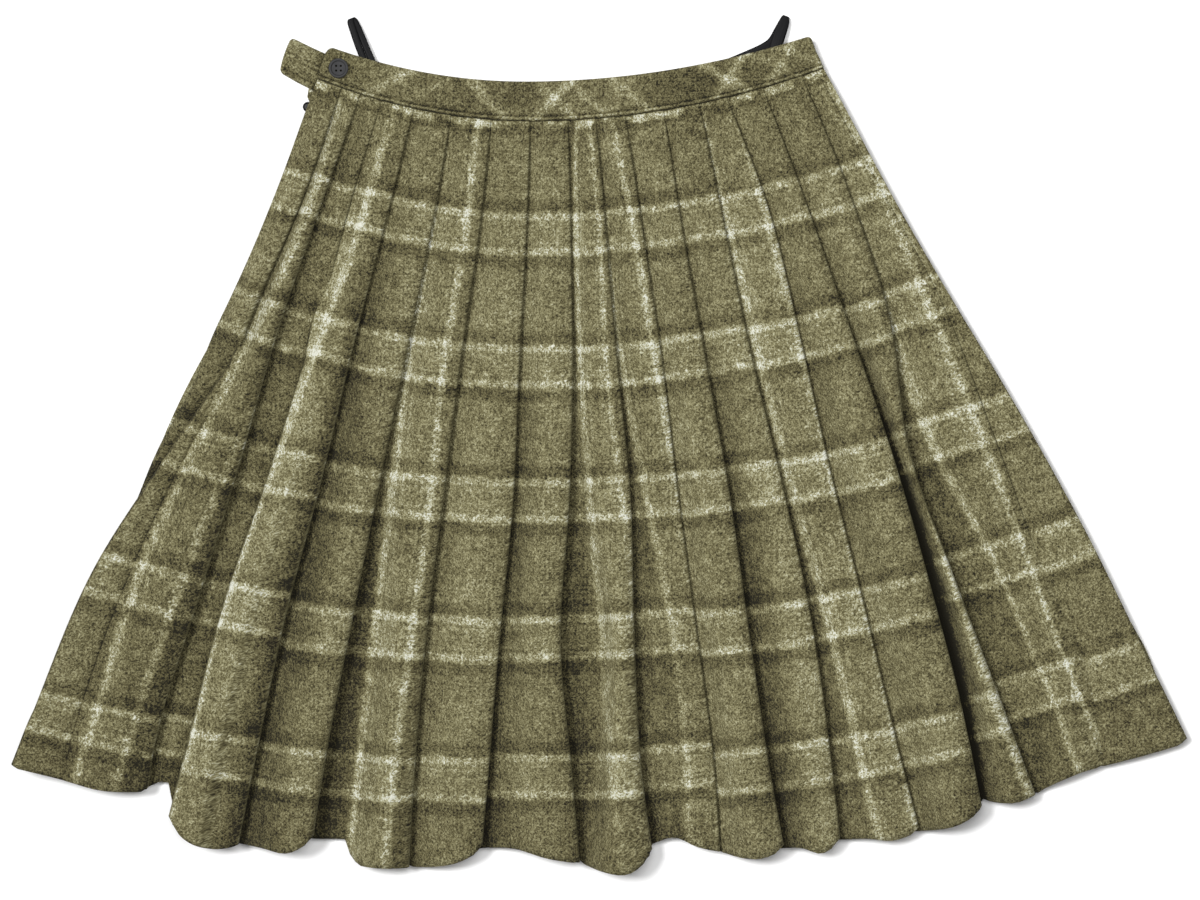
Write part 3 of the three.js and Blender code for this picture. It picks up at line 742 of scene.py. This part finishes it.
# How strong the pale lines are, and where they lie in millimetres
WARP_STRENGTH = 0.56
WEFT_STRENGTH = 0.52
BIAS_STRENGTH = 0.55
SEAM_LINE_STRENGTH = 1.9
THREAD_STRENGTH = 0.3
THREAD_PLACE = 6.8  # thin threads inside a pair, from its middle
FIRST_WEFT_LINE = 72.0  # down the cloth from the waist seam
SEAM_LINE = 3.0
LINE_WOBBLE = 5.0
# The nap's flat pattern is laid on the cloth from a slant, so that it runs down steep sides too
NAP_X = (1000, 0, 1000)
NAP_Y = (0, 1000, 500)


def curls(g, vector, scale, thin, offset):
    """Short curly fibres: the level lines of a smooth noise."""
    field = g.noise(g.shifted(vector, offset), scale, detail=1.0)
    return g.fade(g.apart(field, 0.5), 0.0, thin)


def pair_mask(g, coordinate, core, rim):
    """Masks along one coordinate in millimetres: the pale lines, the ground inside a pair,
    and the darker ground just outside it. core and rim: a line's full and its outer half-width."""
    half = PLAID_PERIOD / 2
    centred = g.minus(coordinate, PLAID_PAIR / 2 - half)
    wrapped = g.math("FLOORED_MODULO", centred, PLAID_PERIOD)
    from_middle = g.apart(wrapped, half)
    outside = g.minus(from_middle, PLAID_PAIR / 2)
    line = g.fade(g.math("ABSOLUTE", outside), core, rim)
    threads = g.fade(g.apart(from_middle, THREAD_PLACE), 0.4, 1.6, THREAD_STRENGTH)
    line = g.most(line, threads)
    inner = g.fade(outside, -6.0, -3.0)
    dark_in = g.step(outside, 3.0, 5.5)
    dark_out = g.fade(outside, 10.0, 15.0)
    return line, inner, g.times(dark_in, dark_out)


def bias_lines(g, along, across):
    """The pale lines of the cloth on the bias, placed one by one along the waistband."""
    rising = g.minus(along, across)
    falling = g.plus(along, across)
    total = None
    for coordinate, places in ((rising, RISING_LINES), (falling, FALLING_LINES)):
        for place, strength in places:
            away = g.apart(coordinate, float(place))
            line = g.fade(away, 0.5, 9.0, BIAS_STRENGTH * strength)
            total = line if total is None else g.plus(total, line)
    return total


def wool(name, bias=False):
    """Felted wool in an olive marl with pale check lines. bias is for the waistband."""
    g = Graph(name)
    place = g.node("ShaderNodeTexCoord", output=3)
    cloth = g.node("ShaderNodeCombineXYZ", {0: g.dot(place, NAP_X), 1: g.dot(place, NAP_Y)})
    wobble = g.swing(g.noise(cloth, 0.3), LINE_WOBBLE)
    uv = g.node("ShaderNodeUVMap", uv_map="cloth")
    across = g.plus(g.dot(uv, (1000, 0, 0)), wobble)
    down = g.plus(g.dot(uv, (0, 1000, 0)), wobble)

    seam_gaps = g.noise(g.shifted(cloth, (70, 3, 0)), 0.04, detail=1.0)
    fine = curls(g, cloth, 0.27, 0.11, (0, 0, 0))
    finer = curls(g, cloth, 0.4, 0.12, (31, 7, 0))
    dark_curl = curls(g, cloth, 0.33, 0.11, (11, 57, 0))
    lumps = g.noise(cloth, 0.12)
    patches = g.noise(g.shifted(cloth, (5, 91, 0)), 0.018, detail=1.0)
    speck = g.noise(g.shifted(cloth, (50, 9, 0)), 0.8, detail=1.0)
    fibres = g.most(fine, g.times(finer, 0.8))
    grain = g.minus(g.times(fibres, CURL_TONE), g.times(dark_curl, DARK_CURL_TONE))
    grain = g.plus(grain, g.swing(speck, SPECK_TONE))

    if bias:
        base_tone = BIAS_BASE_TONE
        pale = bias_lines(g, across, down)
        shade = g.minus(0.5, patches)
        inner = 0.0
    else:
        base_tone = BASE_TONE
        down = g.minus(down, FIRST_WEFT_LINE)
        warp_line, warp_inner, warp_dark = pair_mask(g, across, 1.1, 4.6)
        weft_line, weft_inner, weft_dark = pair_mask(g, down, 1.2, 4.4)
        from_seam_line = g.apart(down, SEAM_LINE - FIRST_WEFT_LINE)
        seam_line = g.fade(from_seam_line, 1.5, 5.5, SEAM_LINE_STRENGTH)
        seam_line = g.times(seam_line, g.step(seam_gaps, 0.35, 0.55))
        weft_line = g.most(weft_line, seam_line)
        strength = g.node("ShaderNodeAttribute", output=2, attribute_name="line_strength")
        warp_line = g.times(warp_line, g.times(strength, WARP_STRENGTH))
        pale = g.plus(warp_line, g.times(weft_line, WEFT_STRENGTH))
        shade = g.most(g.times(warp_dark, 0.35), weft_dark)
        inner = g.most(g.times(warp_inner, 0.1), weft_inner)

    # Painted shade from the mesh: fold shadows, valleys, creases, seams, waist and hem
    painted_shade_amount = g.node("ShaderNodeAttribute", output=2, attribute_name="fold_shade")
    tone = g.plus(base_tone, g.swing(lumps, LUMP_TONE), g.swing(patches, PATCH_TONE))
    tone = g.minus(tone, g.times(shade, OUTSIDE_TONE))
    mottle = g.plus(0.84, g.times(fibres, 0.27), g.swing(lumps, 0.7))
    pale = g.times(g.times(pale, mottle), LINE_TONE)
    tone = g.plus(tone, g.times(inner, INSIDE_TONE), grain, pale)
    tone = g.minus(tone, g.times(painted_shade_amount, PAINTED_SHADE_TONE), clamp=True)

    ramp = g.node("ShaderNodeValToRGB", {0: tone})
    stops = ramp.node.color_ramp.elements
    while len(stops) < len(WOOL_TONES):
        stops.new(0.5)
    for stop, (place, colour) in zip(stops, WOOL_TONES):
        stop.position = place
        stop.color = colour

    height = g.plus(g.times(fine, 0.9), g.times(speck, 1.2))
    bump = g.node("ShaderNodeBump", {"Strength": 0.6, "Distance": 0.0007, "Height": height})
    g.surface({
        "Base Color": ramp, "Normal": bump, "Roughness": 0.95,
        "Specular IOR Level": 0.2, "Sheen Weight": 0.15, "Sheen Roughness": 0.45,
        "Sheen Tint": SHEEN,
    })
    return g.material


def satin_ribbon(name):
    """Black ribbon with a faint ribbed weave along it."""
    g = Graph(name)
    uv = g.node("ShaderNodeUVMap", uv_map="cloth")
    weave = g.node(
        "ShaderNodeTexWave", {"Vector": uv, "Scale": 420.0, "Distortion": 1.0}, output=1,
        bands_direction="Y",
    )
    streaks = g.noise(g.node("ShaderNodeMapping", {"Vector": uv, "Scale": (900, 40, 1)}), 1.0)
    bump = g.node("ShaderNodeBump", {"Strength": 0.4, "Distance": 0.0001, "Height": weave})
    g.surface({
        "Base Color": g.mix(streaks, srgb(4, 4, 5), srgb(15, 15, 17)), "Normal": bump,
        "Roughness": g.step(streaks, 0.2, 0.8, 0.5, 0.75), "Specular IOR Level": 0.15,
    })
    return g.material


def cloudy(name, scale, detail, tones, roughness, inputs, dents=0.0):
    """A hard material whose tone and roughness vary in soft clouds."""
    g = Graph(name)
    place = g.node("ShaderNodeTexCoord", output=3)
    clouds = g.noise(place, scale, detail=detail, dimensions="3D")
    if dents:
        bump = {"Strength": dents, "Distance": 0.0001, "Height": clouds}
        g.surface({"Normal": g.node("ShaderNodeBump", bump)})
    g.surface({
        "Base Color": g.mix(clouds, *tones), "Roughness": g.step(clouds, 0.3, 0.7, *roughness),
        **inputs,
    })
    return g.material


def place_camera():
    """Straight above, with 900 mm of floor across the frame."""
    frame_width = 0.9
    lens = 150
    data = bpy.data.cameras.new("camera")
    data.sensor_width = 36
    data.lens = lens
    data.clip_end = 50
    camera = add_object("camera", data)
    camera.location = (0, -4.5 * MM, frame_width * lens / data.sensor_width)
    bpy.context.scene.camera = camera


def add_light(name, kind, place, **settings):
    """A light at a place, or for the sun in its direction, aimed at the middle of the skirt."""
    data = bpy.data.lights.new(name, kind)
    for key, value in settings.items():
        setattr(data, key, value)
    light = add_object(name, data)
    light.location = place
    light.rotation_euler = (-Vector(place)).to_track_quat("-Z", "Y").to_euler()


def studio():
    mesh = bpy.data.meshes.new("floor")
    reach = 6.0
    corners = [(-reach, -reach, 0), (reach, -reach, 0), (reach, reach, 0), (-reach, reach, 0)]
    mesh.from_pydata(corners, [], [(0, 1, 2, 3)])
    floor = add_object("floor", mesh)
    g = Graph("floor_paper")
    g.surface({"Base Color": (0.92, 0.92, 0.92, 1), "Roughness": 0.9})
    mesh.materials.append(g.material)
    world = bpy.data.worlds.new("studio")
    world.use_nodes = True
    background = world.node_tree.nodes["Background"]
    background.inputs[0].default_value = (1, 1, 1, 1)
    background.inputs[1].default_value = 0.26
    bpy.context.scene.world = world
    add_light("key", "SUN", (-0.48, 0.22, 0.85), angle=math.radians(18), energy=3.0)
    add_light("overhead", "AREA", (0.1, 0.1, 1.5), shape="DISK", size=0.8, energy=13)
    bpy.context.scene.view_settings.view_transform = "Standard"


def finish_sheet(piece, material, node):
    """Give a cloth piece its material and its place in the frame, and hide its model part."""
    piece.data.materials.append(material)
    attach(piece, "root")
    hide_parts(node)


def add_panel(name, rows, base, material, node):
    piece = mesh_from_grid(name, rows, base)
    thicken(piece, CLOTH)
    finish_sheet(piece, material, node)


def back_grid():
    """Rows of points down the back: pleats like the front's, turned over so that their outer
    sides face the floor."""
    random = np.random.default_rng(4)
    left = -curve_through(STATION_V, BACK_RIGHT)(STATION_V)
    right = -down_skirt(BACK_LEFT)(STATION_V)
    folds = []
    faces = []
    for k in range(BACK_PLEATS):
        lines_left = left + (right - left) * (k + 0.08) / BACK_PLEATS
        lines_right = left + (right - left) * (k + 0.82) / BACK_PLEATS
        face = {"sag": [0] * 6, "bulge": (0, 0, 0)}
        if k % 5 in (1, 3):
            face["lines"] = (list(lines_left), list(lines_right))
        faces.append(face)
        if k:
            shift = random.uniform(-2, 2) * np.linspace(0.2, 1, len(STATION_V))
            at = left + (right - left) * k / BACK_PLEATS + shift
            folds.append({"x": list(at), "lift": (0, 0, 0)})
    shape = Pleats(folds, faces, list(left), list(right), BACK_CLIMB, spacing=6)
    rows = []
    for v in np.linspace(0, STATION_V[-1], 56):
        x, z, u = shape.row(v)[:3]
        share = smooth((v - 440) / (STATION_V[-1] - 440))
        ripple = 1.5 * np.sin(x * 0.11) + 2 * soft_noise(x, x * 0, 12, 120)
        y = weft_height(-x, v) + share * (BACK_HEM_SHORT + ripple)
        z = BACK_HEIGHT - CLOTH / 2 - z
        rows.append((-x, y, np.maximum(CLOTH / 2, z), u, np.full_like(x, v)))
    return rows


def slab(name, place, cloth_at, shade_at, width, rows, base, thickness, ends, crown, groove):
    """A closed strip of doubled cloth with rounded edges. place(t, w) gives x and y for t from
    its left end to its right and w from its lower edge to its upper one, cloth_at the same in
    the cloth, and shade_at(w, x, y) the painted shade. rows: pairs of t and the distance to the
    nearer end. ends: radii of the lower and upper corner at each end. crown: how far the middle
    stands up. groove: depth of the topstitching."""
    edge = min(2.0, thickness / 2) / width
    curve = [1 - math.cos(math.pi / 2 * k / 4) for k in range(4)]
    inner = np.linspace(edge, 1 - edge, 40)
    across = [edge * c for c in curve] + list(inner) + [1 - edge * c for c in curve[::-1]]
    ring = [(w, 1) for w in across] + [(w, -1) for w in across[::4][::-1]] + [(across[0], 1)]
    half = thickness / 2
    grid = []
    for t, to_end in rows:
        radii = ends[0] if t < 0.5 else ends[1]
        cuts = [r - math.sqrt(r * r - max(0.0, r - to_end) ** 2) for r in radii]
        round_end = math.sqrt(max(0.0, 1 - max(0.0, 1 - to_end / half) ** 2))
        columns = []
        for w, side in ring:
            w_cut = cuts[0] / width + (1 - (cuts[0] + cuts[1]) / width) * w
            x, y = place(t, w_cut)
            to_edge = min(w, 1 - w) / edge
            z = half * math.sqrt(max(0.0, 1 - max(0.0, 1 - to_edge) ** 2)) * round_end
            if side > 0:
                z += crown * math.sin(math.pi * w) * round_end
                ridge = bell((w - 0.075) / 0.03)
                dip = bell((w - 0.15) / 0.035)
                z += groove * (0.6 * ridge - dip) * round_end
            u, v = cloth_at(t, w_cut)
            columns.append((x, y, half + side * z, u, v, shade_at(w, x, y)))
        grid.append([np.array(c) for c in zip(*columns)])
    for x, y, z, *_ in grid:
        top = z > half
        z[top] += 0.25 * soft_noise(x, y, 21, 14)[top] * smooth((z[top] - half) / half)
    return mesh_from_grid(name, grid, base)


def end_rows(length, count):
    """Rows from 0 to 1 with a few close ones at each end, each with its distance to the end."""
    close = [0, 0.25, 0.7, 1.3, 2, 3]
    t = [c / length for c in close]
    t += list(np.linspace(4.5 / length, 1 - 4.5 / length, count))
    t += [1 - c / length for c in close[::-1]]
    return [(k, min(k, 1 - k) * length) for k in t]


def build_band(name, node, base, left, right, inset, material):
    left_at = curve_through(BAND_END_SHARES, left)
    right_at = curve_through(BAND_END_SHARES, right)

    def place(t, w):
        x = float(left_at(w)) * (1 - t) + float(right_at(w)) * t
        low = curve_y(SEAM_CURVE, x) - BAND_OVERLAP
        return x, float(low + (curve_y(BAND_TOP, x) - inset - low) * w)

    def cloth_at(t, w):
        return left[0] + (right[0] - left[0]) * t, BAND_HEIGHT * w

    def shade_at(w, x, y):
        """Painted shadow at the seam and under the button, painted shade in the topstitching
        groove, and a painted highlight on the ridge between them.
        """
        button_shadow = 1.5 if math.dist((x, y), BUTTON_MIDDLE) < BUTTON_SHADOW_RADIUS else 0.0
        seam = 1.3 * bell(w / 0.035)
        ridge = -0.35 * bell((w - 0.075) / 0.025)
        topstitch_shade = 0.85 * bell((w - 0.135) / 0.022)
        return button_shadow + seam + ridge + topstitch_shade

    rows = end_rows(375, 150)
    piece = slab(
        name, place, cloth_at, shade_at, BAND_HEIGHT, rows, base, BAND_THICKNESS, BAND_CORNERS,
        crown=0.3, groove=1.0,
    )
    finish_sheet(piece, material, node)


def along(points, t):
    """The point at a share of the way along a row of points, or a pair of them."""
    place = t * (len(points) - 1)
    k = min(int(place), len(points) - 2)
    start = np.array(points[k], float)
    return start + (np.array(points[k + 1]) - start) * (place - k)


def build_tab(material):
    def place(t, w):
        (x0, y0), (x1, y1) = along(TAB_BOTTOM, t), along(TAB_TOP, t)
        return x0 + (x1 - x0) * w - math.sin(math.pi * w) * (1 - t) ** 6, y0 + (y1 - y0) * w

    def cloth_at(t, w):
        return -245 + 40 * t, 28 * w

    def shade_at(w, x, y):
        """Painted shadow beside the band's end, lighter all over, with stitch lines along
        the tab.
        """
        end_x = BAND_LEFT[0] + (BAND_LEFT[-1] - BAND_LEFT[0]) * (y - 272) / 30
        band_end_shadow = 1.2 * math.exp(-max(0.0, end_x - x) / 2.2)
        return band_end_shadow - 0.35 + sum(0.6 * bell((w - line) / 0.028) for line in TAB_STITCHES)

    ends = ((3.2, 3.2), (0.5, 0.5))
    piece = slab(
        "band_tab", place, cloth_at, shade_at, 27, end_rows(42, 24), 0, 4.0, ends, crown=0.25,
        groove=0.5,
    )
    finish_sheet(piece, material, "waistband_tab")


def build_underlap(material):
    rows = []
    columns = np.linspace(0, 1, 9)
    for t in np.linspace(0, 1, 26):
        left, right = along(UNDERLAP, t)
        points = left[None, :] + (right - left)[None, :] * columns[:, None]
        z = 0.25 * np.sin(math.pi * columns)
        rows.append((points[:, 0], points[:, 1], z, 40 + 22 * columns, 0 * columns + 70 * t))
    piece = mesh_from_grid("placket_strip", rows, CLOTH / 2)
    thicken(piece, CLOTH)
    finish_sheet(piece, material, "placket_underlap")


def strand_sides(points, sign):
    """A unit vector to one side of a strand at each of its points."""
    last = len(points) - 1
    for k in range(len(points)):
        (x0, y0), (x1, y1) = points[max(0, k - 1)][:2], points[min(last, k + 1)][:2]
        yield np.array((y1 - y0, x0 - x1)) * sign / math.hypot(x1 - x0, y1 - y0)


def build_loop(name, node, table, material):
    steps = np.arange(len(table))
    at = [curve_through(steps, [row[k] for row in table]) for k in range(4)]
    tip = max(range(len(table)), key=lambda k: table[k][1])
    up = list(strand_sides(table[:tip], 1))
    back = list(strand_sides(table[tip + 1:], -1))
    sides = [*up, (up[-1] + back[0]) / 2, *back]
    side_at = [curve_through(steps, [side[k] for side in sides]) for k in range(2)]
    across = np.linspace(-0.5, 0.5, 7)
    rows = []
    for k in np.linspace(0, len(table) - 1, 64):
        x, y, z, width = (float(f(k)) for f in at)
        side = np.array([float(f(k)) for f in side_at])
        side /= np.linalg.norm(side)
        curl = -0.3 * (2 * across) ** 2
        rows.append((x + side[0] * width * across, y + side[1] * width * across, z + curl,
                     width * across, 0 * across + 6 * k))
    piece = mesh_from_grid(name, rows, 0)
    thicken(piece, RIBBON)
    width = sum(row[3] for row in table) / len(table) * MM
    finish_sheet(piece, material, node)


def dress_node(node, material):
    """A shape-right solid only gets its material."""
    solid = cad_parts[node]
    solid.data.materials.clear()
    solid.data.materials.append(material)


place_camera()
check = wool("wool_check")
bias = wool("wool_bias", bias=True)
satin = satin_ribbon("black_ribbon")
charcoal = (srgb(38, 38, 39), srgb(50, 50, 51))
button = {"Specular IOR Level": 0.22}
plastic = cloudy("charcoal_plastic", 260.0, 4.0, charcoal, (0.5, 0.7), button, dents=0.25)
black = (srgb(3, 3, 4), srgb(10, 10, 12))
enamel = cloudy("black_enamel", 500.0, 3.0, black, (0.25, 0.45), {"Metallic": 0.3})
add_panel("pleated_front", front_grid(), FRONT_BASE + CLOTH / 2, check, "skirt_front")
add_panel("pleated_back", back_grid(), 0, check, "skirt_back")
build_band("band_front", "waistband_front", FRONT_BASE, BAND_LEFT, BAND_RIGHT, 0, bias)
build_band("band_back", "waistband_back", 0, BACK_BAND_LEFT, BACK_BAND_RIGHT, 1.5, bias)
build_tab(bias)
build_underlap(check)
build_loop("left_loop", "hanger_loop_left", LEFT_LOOP, satin)
build_loop("right_loop", "hanger_loop_right", RIGHT_LOOP, satin)
dress_node("waist_button", plastic)
dress_node("placket_snap", enamel)
studio()
